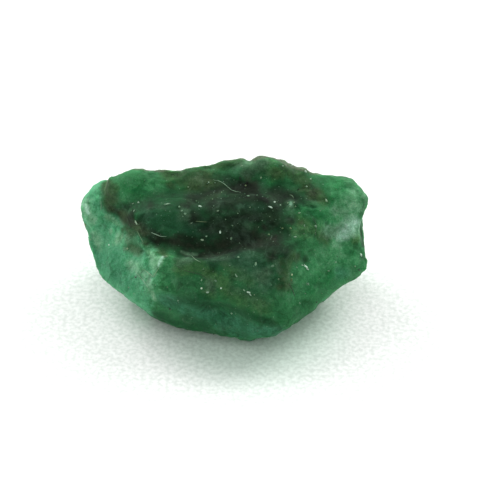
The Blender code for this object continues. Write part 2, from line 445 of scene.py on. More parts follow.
# %% Wear the edges
EDGE = (
    ((9.2, -1.9, 0.9), (8.4, -2.6, 1), (7, -3.5, 1), (5.4, -4.8, 0.9)),
    ((9.3, 2, 0.8), (9.4, 0.8, 1), (9.5, -0.4, 0.8)),
    ((-6.4, 2.2, 0.7), (-6.2, 2.8, 0.7), (-5.4, 3.1, 0.7), (-4.2, 3.3, 0.7), (-3.3, 3.3, 0.7),
     (-2.3, 3.1, 0.7), (-1.7, 2.9, 0.7), (-0.6, 3.3, 0.7), (0.4, 3.6, 0.7), (1.5, 3.6, 0.7),
     (2.5, 3.5, 0.7), (3.3, 3.1, 0.7), (3.9, 2.5, 0.7)),
    ((-3.6, -0.2, 0.9), (-1, -0.6, 1), (1, -0.3, 1), (2.5, 0.4, 0.9), (3.8, 0.9, 0.8)),
)
EDGE_PASSES = 40
mesh = wear(stone, "edge", EDGE, EDGE_PASSES)

# %% [markdown]
# The outline has small dips, steps and bumps of a tenth of a millimetre, where chips broke off, and
# one more lies at the left end of the crease. They are strokes on the leaning side, each with a
# height, and they move the points along their normals. No point may sink below the flat break.

# %% Chips and bumps on the outline
CHIPS = (
    (-0.17, ((-5, 5.4, 0.48), (-4.1, 5.4, 0.62), (-3.3, 5.4, 0.48))),
    (0.06, ((-6, 5.5, 0.42),)),
    (0.1, ((-8.4, 4.8, 0.35), (-8, 5.1, 0.35))),
    (0.08, ((-0.1, 6, 0.42), (0.8, 6.2, 0.48))),
    (-0.15, ((1.7, 6.1, 0.24),)),
    (0.08, ((2.6, 6.3, 0.42), (3.3, 6.4, 0.35))),
    (-0.1, ((4.6, 5.9, 0.35), (5, 5.5, 0.35))),
    (-0.08, ((6, 5.3, 0.28),)),
    (0.13, ((9.1, 4.6, 0.42), (9.6, 4.2, 0.42), (9.8, 3.6, 0.35))),
    (0.1, ((9.8, -1.5, 0.28), (9.7, -1, 0.28))),
    (0.08, ((-9.7, 3.7, 0.42), (-9.8, 3, 0.42))),
    (0.1, ((-9, 4.2, 0.42), (-8.6, 4.6, 0.35), (-8.1, 4.9, 0.28))),
    (0.08, ((-8, -2.7, 0.42),)),
    (0.1, ((5.3, -5.1, 0.42), (6.1, -4.4, 0.42))),
    (0.1, ((-5.3, 0.2, 0.28), (-4.8, -0.1, 0.35))),
    (0.08, ((8.2, -2.6, 0.42), (7.6, -3, 0.48), (7, -3.5, 0.42))),
    (0.1, ((9.7, -1.5, 0.28), (9.4, -1.7, 0.28))),
)
places = places_of(mesh)[0]
normals = np.empty(len(mesh.vertices) * 3, np.float32)
mesh.vertices.foreach_get("normal", normals)
points = np.empty(len(mesh.vertices) * 3, np.float32)
mesh.vertices.foreach_get("co", points)
points = points.reshape(-1, 3)
normals = normals.reshape(-1, 3)
for height, stroke in CHIPS:
    inside = np.clip(stroke_field(places, (stroke,)) + 0.5, 0, 1)
    points += normals * (height * inside * inside * (3 - 2 * inside))[:, None]
points[:, 2] = np.maximum(points[:, 2], 0)
mesh.vertices.foreach_set("co", points.ravel())
mesh.update()
print(len(CHIPS), "chips and bumps")

# %% [markdown]
# Now the zones themselves, as strokes on the leaning side. Each place is given across, uphill and as
# the half width there, in millimetres. Zones that stand later in the table of colours lie on top.

# %% Zones
ZONES = {
    "mint": (
        ((-8.7, 4.8, 0.42), (-9.1, 4, 0.69), (-9.2, 3, 0.76), (-8.9, 1.9, 1.04), (-8, 0.8, 1.73),
         (-7, -0.6, 2.15), (-6.6, -2.1, 1.87), (-6, -3.5, 1.11), (-5.4, -4.4, 0.42)),
    ),
    "jade": (
        ((-9.1, 0.6, 0.35), (-8.7, -0.3, 0.69), (-8.1, -1, 0.97), (-7.3, -1.7, 0.9),
         (-6.8, -2.4, 0.55)), ((8.1, -1.7, 0.42),),
    ),
    "spring": (
        ((2, 5.5, 0.24), (2.3, 5.1, 0.28)), ((3.3, 5.4, 0.28), (3.5, 4.8, 0.28)),
        ((-6.9, 4, 0.48), (-6.4, 3.5, 0.48)), ((-5.3, 4.1, 0.42), (-4.3, 4, 0.55)),
        ((5.6, -2.6, 0.35),), ((8.6, 2.2, 0.35),),
        ((-4.6, -1.5, 0.48), (-4.4, -2.4, 0.55), (-4.6, -3.5, 0.35)),
        ((7.4, 3.1, 0.55), (8, 3, 0.97), (8.7, 3.5, 0.97), (8.9, 2.6, 0.69)),
        ((5.5, -1.2, 0.55), (6.8, -1.5, 1.18), (8.4, -1.1, 0.97)),
        ((-8, 1.8, 0.48), (-7.2, 0.8, 0.62), (-6.2, 0.1, 0.55)),
        ((-6.4, -0.6, 0.42), (-5.8, -0.8, 0.35)), ((6.1, 1, 0.55), (7.2, 1.5, 0.62), (8, 2.1, 0.55)),
        ((5.5, -2.5, 0.48), (5.8, -3, 0.42)), ((7.9, 0, 0.48), (8.6, -0.4, 0.48)),
        ((-4.6, -1, 0.42), (-3.3, -1.2, 0.42)), ((1, -1.9, 0.42), (1.4, -2.5, 0.42)),
        ((-3.7, -1.5, 0.35), (-3.7, -2.6, 0.42)), ((4.7, -1.2, 0.42),),
    ),
    "vivid": (
        # Painted shade: the second stroke on the next line darkens the top of the right-hand lobe,
        # which faces the lamps.
        ((-6.5, 4.2, 0.42), (-5.7, 3.9, 0.42)), ((7.8, 4.3, 0.35), (8.7, 4.1, 0.35)),
        ((-6.2, 4.6, 0.35),), ((6.9, 4.3, 0.48),), ((-4, 4.8, 0.35), (-3, 4.5, 0.42)),
        ((2.6, 5.1, 0.48), (3.3, 4.8, 0.48)), ((5.5, 2.4, 0.55), (6.6, 2.4, 0.55)),
        ((6, -2.6, 0.62), (7.3, -1.9, 0.62)), ((-1.2, -4.6, 0.35), (-0.6, -4.8, 0.35)),
        ((-7.4, -0.6, 0.28),), ((5.7, -1.4, 0.28),), ((8.9, -0.4, 0.28),),
    ),
    "forest": (
        ((5.5, -0.8, 0.25),), ((-1.1, -1, 0.28), (-0.6, -1.3, 0.35), (-0.8, -1.7, 0.28)),
        ((-5, 0.2, 0.28), (-5.1, -0.6, 0.28)), ((4.2, 1.5, 0.35), (4.4, 0.7, 0.28)),
        ((5.6, 2.6, 0.28),),
        ((-6.9, 2.8, 0.28), (-6.1, 2.8, 0.28), (-5.3, 2.8, 0.48), (-4.2, 3.1, 0.62), (-3, 3.2, 0.97),
         (-1.8, 3, 1.04), (-0.7, 3.3, 0.97)),
        ((-0.8, 4.4, 0.55), (0.1, 4.8, 0.42), (0.6, 3.9, 0.69), (2.1, 3.7, 0.83), (3.3, 4, 0.83),
         (3.9, 3.5, 0.76), (4.8, 3.4, 0.76), (5.5, 2.6, 0.62)),
        ((3.7, 2.8, 0.69), (3.9, 1.8, 0.69), (4, 0.7, 0.62)),
        ((-1.7, 1.1, 0.83), (-0.6, 1.7, 0.83), (0.3, 1, 0.83)),
        ((-5.3, 1.9, 0.55), (-5.1, 1.3, 0.55)),
        # Painted shade: this stroke darkens the green just under the crease's lower lip, so the
        # crease's shadow fades out softly.
        ((-3, -0.6, 0.35), (-2, -0.8, 0.42), (-0.8, -0.8, 0.42), (0.7, -0.6, 0.48), (1.8, -0.2, 0.48),
         (2.8, 0.1, 0.48)), ((-2.2, 4.2, 0.55),), ((-7.1, 0.1, 0.35),),
        ((4.6, 0.1, 0.42), (4.3, -0.6, 0.35)), ((5, -0.6, 0.28),),
        ((5.3, 3.2, 0.55), (5.6, 2.8, 0.55)), ((-1, -1.7, 0.28),), ((0.7, -1.9, 0.28),),
        ((5.7, 4.2, 0.42),), ((9.6, 1.8, 0.1), (9.6, 1, 0.1), (9.7, 0.1, 0.1)), ((5.3, 2.6, 0.35),),
    ),
    "olive": (
        ((-8, 4.6, 0.28), (-7.6, 4, 0.35), (-7.5, 3.3, 0.35)),
        ((-3.9, 5.2, 0.48), (-3, 4.9, 0.62), (-2.2, 4.7, 0.76), (-1.1, 4.4, 0.76)),
        ((-1.2, 5.7, 0.35), (0.1, 5.8, 0.35), (1.1, 5.9, 0.28)), ((4.2, 5.6, 0.42), (5.3, 4.9, 0.55)),
        ((6.2, 3.7, 0.62), (6.8, 3.3, 0.42)), ((7, 0.6, 0.42),), ((5.5, 4.2, 0.48),),
        ((4.8, -0.6, 0.35), (4.4, -1.1, 0.35), (4.2, -1.7, 0.21)), ((3.6, 5.1, 0.42),),
        ((-0.4, 3.8, 0.35),), ((-3.5, 4.4, 0.35),),
    ),
    "moss": (
        ((-3, -1.4, 0.42), (-1.5, -1.5, 0.42), (0.7, -2.9, 0.62), (2.6, -3.9, 0.55)),
        ((0.1, -1, 0.28), (1.8, -2.3, 0.42)), ((5.3, 1.5, 0.62), (6.5, 1, 0.48)), ((9.1, 0.6, 0.28),),
        ((-1, -3, 0.42),), ((2.3, 5.7, 0.55), (3.2, 5.5, 0.55), (3.9, 5.1, 0.35)),
        ((-8, 2.2, 0.28), (-7.3, 1.5, 0.35)), ((-5.4, -0.2, 0.35), (-4.6, -0.1, 0.28)),
    ),
    "slate": (
        ((-5.1, 2.2, 0.62), (-4.1, 1.8, 0.9), (-2.6, 1.5, 0.97), (-1.3, 1.1, 0.62)),
        ((1.1, -0.8, 0.69), (2.6, -1.2, 0.83), (3.3, -2.2, 0.62)),
    ),
    "turquoise": (
        ((-4.1, -3.5, 0.42), (-2.4, -4, 0.62), (-0.6, -4.8, 0.69), (1.1, -5.4, 0.76),
         (2.6, -5.7, 0.62), (3.7, -5.7, 0.42)), ((-7.5, -2.4, 0.83), (-6, -3.3, 0.69)),
    ),
    # Painted shade: this zone darkens a ridge above the low band and the lower edge next to the paper.
    "shade": (
        ((-3, -3.4, 0.28), (-2.5, -3.5, 0.35), (-1.7, -3.6, 0.42), (-0.7, -3.8, 0.35),
         (0.1, -3.9, 0.28), (1.8, -4.5, 0.28), (3.3, -5.1, 0.21)),
        ((-5.1, -4.4, 0.28), (-3.7, -5, 0.42), (-2.4, -5.6, 0.42), (-1, -5.9, 0.42), (0, -6.2, 0.28)),
        ((-2.6, -4.8, 0.35), (-1.2, -5.5, 0.35)),
    ),
    "veil": (
        ((1, 2.9, 0.21), (1.8, 2.8, 0.24), (2.6, 2.8, 0.21)),
        # Painted sheen: this stroke lightens the top edge.
        ((0.8, 5.3, 0.35), (1.8, 5.5, 0.48), (2.6, 5.5, 0.48)),
        ((-0.8, -1, 0.35), (0.8, -0.8, 0.48), (2.2, -1, 0.55)),
        ((0.8, -2.6, 0.42), (2.1, -3, 0.62), (2.8, -2.5, 0.42)),
        ((1.4, -1.9, 0.48), (2.6, -1.8, 0.42)), ((7.1, 1.1, 0.42), (7.9, 1.3, 0.42)),
    ),
    "pale": (
        ((7.8, 0.1, 0.21),), ((8.7, 3.3, 0.55), (9, 2.8, 0.42)), ((8, 2.6, 0.42),),
        # Painted highlight: this stroke lightens the thin left edge.
        ((-9.6, 3.1, 0.35), (-9.5, 2.4, 0.35), (-9.2, 1.8, 0.28)),
        ((-9, 0.9, 0.28), (-8.7, 0.3, 0.35)),
        ((-6.3, -1, 0.28), (-5.9, -1.4, 0.42), (-5.5, -1.8, 0.35)),
        ((-5.1, -2.3, 0.28), (-5, -2.8, 0.28)), ((-8, 2.1, 0.28),),
        ((-7.3, 0.4, 0.28), (-7.1, 0.8, 0.28)), ((-6.5, 0.7, 0.21),),
        # Painted highlight: the last stroke on the next line lightens the tip of the right-hand end.
        ((7.6, 1.1, 0.42), (8.2, 1.2, 0.42), (8.6, 1.5, 0.35)), ((9.6, 3.5, 0.21),),
        ((9, 1.1, 0.28),), ((8.4, 2.4, 0.35),), ((-6.2, 0.6, 0.28),), ((7.6, 2.5, 0.28),),
    ),
    "chalk": (
        ((-8.1, 2.2, 0.17), (-7.7, 1.9, 0.21), (-7.2, 1.5, 0.14)),
        ((-7.1, 1.9, 0.17), (-6.9, 1.7, 0.17)), ((-7.9, 1.1, 0.17),),
        ((-7.3, 0.5, 0.21), (-7, 0.8, 0.17)), ((-6.5, 0.7, 0.14),),
        ((-5.2, -0.3, 0.14), (-4.8, -0.6, 0.28), (-4.6, -1.2, 0.28)),
        ((-4.3, -0.7, 0.21), (-4.4, -1.2, 0.21)), ((-4.7, -1.7, 0.14),), ((-6.7, 0.1, 0.14),),
        ((-4.8, -3, 0.14), (-4.7, -3.5, 0.14)), ((7.3, 1.2, 0.35), (7.8, 1.3, 0.35)),
        ((4.6, 3, 0.28),),
    ),
    "brown": (
        ((-6.9, 1.2, 0.21),), ((3.9, -1, 0.28), (3.9, -1.7, 0.21)), ((3.9, -2.6, 0.28),),
        ((-8.2, 4.4, 0.28), (-8, 3.7, 0.35), (-8, 3.1, 0.42), (-7.8, 2.7, 0.28)),
        ((-7.2, 2.4, 0.28), (-6.6, 2, 0.35), (-6, 1.5, 0.35), (-5.4, 0.9, 0.28)),
        ((-1.5, 4.7, 0.55),), ((6.2, 3.7, 0.42),), ((-6.6, 1.3, 0.28), (-6.2, 1, 0.28)),
        ((-6.2, 0.2, 0.42), (-5.9, -0.1, 0.35)), ((5.3, 1.7, 0.21),), ((1.6, 5, 0.28),),
        ((4.2, -2.6, 0.35),), ((-4.1, -0.3, 0.28),), ((-5.3, 0.3, 0.28),), ((4.1, -2.1, 0.28),),
    ),
    "dark": (
        ((-6.2, 2.4, 0.21), (-6.1, 1.9, 0.21)), ((-5.2, 1, 0.24), (-4.4, 0.9, 0.28)),
        ((3.5, -0.7, 0.21),),
        # Painted shade: this thin stroke darkens the crease's lower lip where the lamps light it.
        ((-0.8, -0.7, 0.17), (-0.1, -0.7, 0.22), (0.6, -0.5, 0.21), (1.1, -0.1, 0.14), (1.5, 0, 0.15),
         (2.4, 0.3, 0.17), (3.2, 0.7, 0.17)),
        ((-2.4, 3.2, 0.35), (-1.2, 3.6, 0.35), (-0.1, 4, 0.55), (1.1, 3.8, 0.62), (2.1, 3.5, 0.42),
         (3, 3.2, 0.42)),
        ((-0.7, 2.9, 0.55), (0.1, 3.1, 0.83), (1.2, 2.8, 1.11), (2.1, 2.4, 1.31), (3, 2.5, 0.83),
         (3.2, 1.7, 0.62)), ((3.6, 2.8, 0.35),), ((1.1, 4.1, 0.48), (1.9, 3.9, 0.55)),
        ((-1.2, 1.2, 0.48), (-0.6, 1.5, 0.76), (1, 1.4, 0.97)),
        ((2.6, 0.4, 0.55), (3.5, 0, 0.55), (4.1, -0.3, 0.42)),
        ((-7.9, 2.7, 0.21), (-7.3, 2.4, 0.28), (-6.9, 2.2, 0.42), (-6.4, 1.9, 0.48),
         (-5.8, 1.5, 0.35), (-5.3, 1, 0.28)), ((-2.8, 2.9, 0.28),), ((-5, 2.8, 0.28),),
        ((-2.1, 2.1, 0.55),), ((-2.9, 0.8, 0.28), (-2.2, 0.6, 0.28)),
        ((-5, 0.7, 0.21), (-4.6, 0.4, 0.28)), ((-0.5, -0.6, 0.35), (0.3, -0.3, 0.35)),
        ((3.3, 3.5, 0.48), (4.2, 3.5, 0.48), (4.8, 3.4, 0.35)),
        # Painted shade: this thin stroke also darkens the crease's lower lip.
        ((-2.6, -0.3, 0.21), (-1.7, -0.6, 0.21), (-0.6, -0.6, 0.24), (0.4, -0.4, 0.24),
         (1.4, -0.1, 0.24), (2.2, 0.3, 0.24), (2.8, 0.6, 0.21)), ((4.6, 2, 0.35),),
        ((1.9, 1.9, 0.35),),
    ),
    "black": (
        # The long first stroke follows the crease: its darkness there is partly the stone's dark mica
        # and partly painted shade of the crease.
        ((-4.4, 0.6, 0.28), (-3.7, 0.4, 0.38), (-2.8, 0.2, 0.39), (-1.7, 0.1, 0.42), (-0.8, 0, 0.52),
         (0.4, 0.2, 0.55), (1.4, 0.6, 0.55), (2.3, 0.8, 0.48)), ((1.2, 4.3, 0.35), (1.9, 4.2, 0.42)),
        ((3.5, 0.6, 0.42),), ((3.3, -0.6, 0.35),), ((2.8, 1.3, 0.28),),
    ),
    # Painted shade: this zone darkens the ridge on top, the right part of the crease and a few spots
    # where the lamps and the gloss make the surface too light.
    "soot": (
        ((1.3, 0.3, 0.17), (2.1, 0.6, 0.17)), ((1, 0.8, 0.28), (1.8, 0.8, 0.28)),
        ((-2.5, 2.8, 0.21),), ((0.4, 1.9, 0.28), (1.5, 2, 0.28), (2.4, 1.9, 0.28)),
        ((1.1, 0.6, 0.28), (1.8, 0.7, 0.28)),
        ((0.6, 4, 0.28), (1.2, 4, 0.35), (1.8, 3.9, 0.38), (2.4, 3.5, 0.24), (3, 3.2, 0.21)),
        ((0.4, 0.9, 0.28), (1, 0.8, 0.48), (1.7, 0.5, 0.48)), ((-6.4, 2, 0.35),),
        ((1.2, 4.3, 0.28), (1.9, 4.2, 0.28)), ((-2.2, 2, 0.28),),
    ),
    "haze": (
        ((-2.8, -0.3, 0.08), (-2.2, -0.4, 0.1), (-1.7, -0.5, 0.08)),
        # Painted sheen: the first stroke on the next line lightens the top edge.
        ((1.3, 5.1, 0.21), (1.9, 5.5, 0.48), (2.5, 5.9, 0.42)), ((-3, -1, 0.21), (-2.4, -0.9, 0.28)),
        ((-2.7, 2.4, 0.35),), ((3.6, -0.9, 0.21), (3.8, -1.5, 0.21)),
        ((2.6, -1.9, 0.48), (3, -1.7, 0.35)), ((-0.9, -2.6, 0.42),),
    ),
    "white": (
        ((9.1, 1.9, 0.28), (8.7, 1.5, 0.42), (8.3, 1, 0.35), (8, 0.6, 0.21)),
        ((-4.2, -0.6, 0.07), (-4.3, -0.9, 0.1), (-4.4, -1.2, 0.07)),
        # Painted highlight: the first stroke on the next line lightens the thin left edge.
        ((-9.6, 2.9, 0.17), (-9.4, 2.4, 0.1)), ((4.6, 3, 0.1),),
    ),
    # Painted edge light: a thin pale line along the top outline and the left end.
    "rim": (
        ((-8.7, 4.8, 0.14), (-8.2, 5.1, 0.14), (-7.4, 5.5, 0.14), (-6.7, 5.7, 0.14),
         (-5.9, 5.5, 0.14), (-5, 5.4, 0.14), (-3.9, 5.5, 0.14), (-2.9, 5.5, 0.14), (-1.9, 5.7, 0.17),
         (-1.1, 6, 0.17), (-0.1, 6.2, 0.14), (1, 6.2, 0.14), (1.7, 6.1, 0.14), (2.3, 6.3, 0.14),
         (3.2, 6.4, 0.17), (4, 6.2, 0.17), (4.6, 5.8, 0.17), (5.4, 5.5, 0.17), (6.2, 5.2, 0.17),
         (6.8, 5.1, 0.14)),
        ((-10.2, 3.3, 0.1), (-10.2, 2.5, 0.1), (-9.8, 1.4, 0.1), (-9.6, 0.3, 0.1)),
    ),
}
print(len(ZONES), "zones of", sum(len(strokes) for strokes in ZONES.values()), "strokes")

# %% [markdown]
# A band in a stone is never ruled, so a wide, gentle noise pushes the places about before the strokes
# are measured. It needs a seed of its own, or Blender takes one from the clock and each run differs.
# The zones run through the stone, as mineral layers do, so the same strokes colour the back as well.
# Only the painted edge light, a thin pale line along the outline, fades out where the surface turns to
# the back. Each zone is stored as a number for each point, and the material gives it a ragged edge.

# %% Store the zones on the stone
WANDER_SIZE = 1.1
WANDER = 0.2
WANDER_SEED = 3
EDGE_LIGHT_FADE = 12
noise.seed_set(WANDER_SEED)
facing = normals @ np.array(outwards)
drift = [noise.noise_vector(vertex.co / WANDER_SIZE)[:2] for vertex in mesh.vertices]
places = places_of(mesh)[0] + np.array(drift) * WANDER
for zone, strokes in ZONES.items():
    field = stroke_field(places, strokes)
    if zone == "rim":
        field -= EDGE_LIGHT_FADE * np.clip(-facing, 0, 1)
    mesh.attributes.new(zone, "FLOAT", "POINT").data.foreach_set("value", field.astype(np.float32))
    print(zone, "covers", round(float((field > 0).mean()) * 100), "% of the points")

# %% [markdown]
# A zone's edge is ragged, because the minerals grew into each other. This group adds noise to the
# stored number and then cuts it with a soft step. A wide step gives a cloud, a narrow one a crust.

# %% A group for the edge of a zone
def zone_edge():
    """A group that turns a stored number into a mask with a ragged edge."""
    inputs = {
        "Field": 0.0,
        "Noise": 0.5,
        "Raggedness": 1.0,
        "Softness": 0.4,
        "Strength": 1.0,
    }
    tree, given, result = new_tree("zone edge", "ShaderNodeTree", inputs, {"Mask": "NodeSocketFloat"})
    noise_height = math_node(tree, "SUBTRACT", given["Noise"], 0.5)
    wander = math_node(tree, "MULTIPLY", noise_height, given["Raggedness"])
    value = math_node(tree, "ADD", given["Field"], wander)
    low = math_node(tree, "MULTIPLY", given["Softness"], -1.0)
    mask = smooth_step(tree, value, low, given["Softness"], given["Strength"])
    tree.links.new(mask, result["Mask"])
    return tree


edge_group = zone_edge()
print("zone edge group of", len(edge_group.nodes), "nodes")

# %% [markdown]
# The body of the stone isn't one green. It has clouds, fine streaks along the layers, and specks.
# Where a noise crosses its middle it draws a meandering line: such lines make the pale wisps and the
# dark healed cracks that an emerald is full of. This group gives the patterns that all the zones
# share, in millimetres in the leaning frame.

# %% A group for the mottling
def mottling():
    """A group with the shared patterns, from wide clouds down to fine grain."""
    names = ("Clouds", "Patches", "Streaks", "Crumbs", "Grain", "Haze", "Wisps", "Cracks", "Specks")
    outputs = {name: "NodeSocketFloat" for name in names}
    inputs = {
        "Cloud Size": 2.2,
        "Patch Size": 0.7,
        "Streak Size": 0.3,
        "Crumb Size": 0.22,
        "Grain Size": 0.09,
        "Wisp Size": 1.5,
        "Speck Size": 0.3,
    }
    tree, given, result = new_tree("mottling", "ShaderNodeTree", inputs, outputs)
    where = put(tree, "ShaderNodeTexCoord").outputs["Object"]
    leaning = {"Vector": where, "Rotation": (lean - math.pi / 2, 0.0, 0.0), "Scale": (1 / MM,) * 3}
    turn = put(tree, "ShaderNodeMapping", leaning).outputs[0]
    drawn_out = vector_node(tree, "MULTIPLY", turn, (0.28, 1.0, 1.0))

    def noise(size, vector, detail, warp=0.0):
        scale = math_node(tree, "DIVIDE", 1.0, given[size])
        inputs = {"Vector": vector, "Scale": scale, "Detail": detail, "Distortion": warp}
        return put(tree, "ShaderNodeTexNoise", inputs).outputs[0]

    tree.links.new(noise("Cloud Size", turn, 3.0, 0.4), result["Clouds"])
    tree.links.new(noise("Patch Size", turn, 4.0, 0.6), result["Patches"])
    tree.links.new(noise("Streak Size", drawn_out, 4.0, 0.8), result["Streaks"])
    tree.links.new(noise("Crumb Size", turn, 3.0, 0.3), result["Crumbs"])
    tree.links.new(noise("Grain Size", turn, 2.0), result["Grain"])
    elsewhere = vector_node(tree, "ADD", turn, (31.0, 17.0, 5.0))
    tree.links.new(noise("Cloud Size", elsewhere, 5.0, 1.2), result["Haze"])

    def line(vector):
        middle = math_node(tree, "SUBTRACT", noise("Wisp Size", vector, 4.0, 0.5), 0.5)
        return smooth_step(tree, math_node(tree, "ABSOLUTE", middle), 0.045, 0.0)

    tree.links.new(line(turn), result["Wisps"])
    tree.links.new(line(elsewhere), result["Cracks"])
    cells = {"Vector": turn, "Scale": math_node(tree, "DIVIDE", 1.0, given["Speck Size"])}
    cell = put(tree, "ShaderNodeTexVoronoi", cells)
    chance = put(tree, "ShaderNodeSeparateXYZ", {0: cell.outputs["Color"]}).outputs[0]
    speck = smooth_step(tree, cell.outputs["Distance"], 0.2, 0.08)
    specks = math_node(tree, "MULTIPLY", speck, smooth_step(tree, chance, 0.5, 0.9))
    tree.links.new(specks, result["Specks"])
    return tree


mottling_group = mottling()
print("mottling group of", len(mottling_group.nodes), "nodes")

# %% [markdown]
# The emerald itself is one Principled surface. Its base colour starts as a deep and a brighter green
# mixed by the clouds, and each zone is laid over it in turn, each with two colours of its own. After
# them stand how ragged and how soft the zone's edge is, and how much of it covers what is below.

# %% The emerald's colours
DEEP = (0.015, 0.1, 0.033, 1.0)
BRIGHT = (0.038, 0.185, 0.07, 1.0)
ZONE_COLOURS = {
    "spring": ((0.03, 0.18, 0.065), (0.075, 0.27, 0.115), 2.0, 0.8, 0.9),
    "forest": ((0.004, 0.023, 0.007), (0.011, 0.048, 0.018), 2.0, 0.9, 0.85),
    "vivid": ((0.005, 0.1, 0.027), (0.02, 0.16, 0.05), 1.8, 0.8, 0.8),
    "moss": ((0.03, 0.09, 0.028), (0.075, 0.175, 0.062), 2.5, 0.8, 0.7),
    "olive": ((0.018, 0.04, 0.013), (0.038, 0.083, 0.026), 2.5, 0.8, 0.75),
    "slate": ((0.008, 0.045, 0.02), (0.02, 0.08, 0.04), 2.0, 0.8, 0.7),
    "turquoise": ((0.018, 0.1, 0.048), (0.044, 0.18, 0.1), 2.0, 0.8, 0.8),
    # Painted shade on a ridge and along the lower edge.
    "shade": ((0.006, 0.05, 0.016), (0.012, 0.075, 0.026), 1.5, 0.8, 0.8),
    "mint": ((0.052, 0.25, 0.115), (0.1, 0.35, 0.185), 1.6, 0.35, 1.0),
    "jade": ((0.034, 0.175, 0.083), (0.055, 0.23, 0.118), 1.4, 0.9, 0.85),
    "pale": ((0.1, 0.27, 0.14), (0.2, 0.38, 0.24), 1.6, 0.9, 0.7),
    "chalk": ((0.085, 0.24, 0.115), (0.19, 0.39, 0.235), 2.2, 0.7, 0.75),
    "dark": ((0.005, 0.011, 0.006), (0.014, 0.029, 0.014), 2.0, 0.9, 0.88),
    "brown": ((0.028, 0.046, 0.018), (0.054, 0.1, 0.042), 2.2, 0.8, 0.8),
    "veil": ((0.02, 0.07, 0.035), (0.05, 0.13, 0.075), 2.2, 0.9, 0.5),
    "black": ((0.008, 0.011, 0.007), (0.026, 0.032, 0.02), 1.4, 0.9, 0.9),
    # Painted shade, darkening places that the lamps light too brightly.
    "soot": ((0.001, 0.003, 0.001), (0.005, 0.01, 0.005), 1.6, 0.9, 0.85),
    "haze": ((0.048, 0.11, 0.06), (0.088, 0.185, 0.102), 1.6, 0.9, 0.85),
    "white": ((0.22, 0.43, 0.3), (0.4, 0.62, 0.49), 0.8, 0.95, 0.85),
    # Painted edge light along the outline.
    "rim": ((0.06, 0.075, 0.045), (0.1, 0.13, 0.085), 1.2, 0.5, 0.85),
}
CLOUDS_IN_BODY = 0.35
PATCHES_IN_BODY = 0.35
STREAKS_IN_BODY = 0.3
CRUMBS_AT_EDGE = 0.35
CRUMBS_IN_ZONE = 0.4
emerald_skin.use_nodes = True
tree = emerald_skin.node_tree
surface = tree.nodes["Principled BSDF"]
noises = put(tree, "ShaderNodeGroup", node_tree=mottling_group).outputs
cloud_share = smooth_step(tree, noises["Clouds"], 0.35, 0.65)
patch_share = smooth_step(tree, noises["Patches"], 0.35, 0.65)
streak_share = smooth_step(tree, noises["Streaks"], 0.35, 0.65)
body_share = math_node(tree, "MULTIPLY", cloud_share, CLOUDS_IN_BODY)
body_share = math_node(tree, "MULTIPLY_ADD", patch_share, PATCHES_IN_BODY, body_share)
body_share = math_node(tree, "MULTIPLY_ADD", streak_share, STREAKS_IN_BODY, body_share)
colour = mix_colours(tree, body_share, DEEP, BRIGHT)


def crumbs_and_patches(crumb_share):
    """The crumbs and the patches in one noise, with a share of the crumbs."""
    patches = math_node(tree, "MULTIPLY", noises["Patches"], 1 - crumb_share)
    return math_node(tree, "MULTIPLY_ADD", noises["Crumbs"], crumb_share, patches)


ragged = crumbs_and_patches(CRUMBS_AT_EDGE)
blend_share = smooth_step(tree, crumbs_and_patches(CRUMBS_IN_ZONE), 0.38, 0.64)
for zone, (dark, light, raggedness, softness, strength) in ZONE_COLOURS.items():
    mask = put(tree, "ShaderNodeGroup", {
        "Field": put(tree, "ShaderNodeAttribute", attribute_name=zone).outputs["Fac"],
        "Noise": ragged,
        "Raggedness": raggedness,
        "Softness": softness,
        "Strength": strength,
    }, node_tree=edge_group).outputs[0]
    two_colours = mix_colours(tree, blend_share, (*dark, 1.0), (*light, 1.0))
    colour = mix_colours(tree, mask, colour, two_colours)
print(len(ZONE_COLOURS), "zones coloured")

# %% [markdown]
# Over the zones lie the marks that run through all of them: a thin pale haze, wisps, dark healed
# cracks, specks and a fine grain. They are faint, and together they make the stone look deep instead
# of painted.

# %% Haze, wisps, cracks and specks
PALE_VEIL = (0.1, 0.22, 0.13, 1.0)
PALE_SPECK = (0.24, 0.4, 0.27, 1.0)
DARK_CRACK = (0.35, 0.4, 0.35, 1.0)
HAZE_STRENGTH = 0.12
WISP_STRENGTH = 0.06
CRACK_STRENGTH = 0.5
SPECK_STRENGTH = 0.3
DARKEST_GRAIN = 0.78
LIGHTEST_GRAIN = 1.25
haze = smooth_step(tree, noises["Haze"], 0.5, 0.72, HAZE_STRENGTH)
colour = mix_colours(tree, haze, colour, PALE_VEIL)
in_haze = smooth_step(tree, noises["Haze"], 0.42, 0.6, WISP_STRENGTH)
wisps = math_node(tree, "MULTIPLY", noises["Wisps"], in_haze)
colour = mix_colours(tree, wisps, colour, PALE_SPECK)
between_clouds = smooth_step(tree, noises["Clouds"], 0.55, 0.42, CRACK_STRENGTH)
cracks = math_node(tree, "MULTIPLY", noises["Cracks"], between_clouds)
colour = mix_colours(tree, cracks, colour, DARK_CRACK, "MULTIPLY")
specks = math_node(tree, "MULTIPLY", noises["Specks"], SPECK_STRENGTH)
colour = mix_colours(tree, specks, colour, PALE_SPECK)
speckle = spread(tree, noises["Grain"], DARKEST_GRAIN, LIGHTEST_GRAIN)
colour = mix_colours(tree, 1.0, colour, speckle, "MULTIPLY")
tree.links.new(colour, surface.inputs["Base Color"])
print("the emerald's material has", len(tree.nodes), "nodes")

# %% [markdown]
# Light goes a little way into the stone, so subsurface scattering softens it. The worn skin is waxy:
# rough, with a weak gloss that changes from patch to patch.

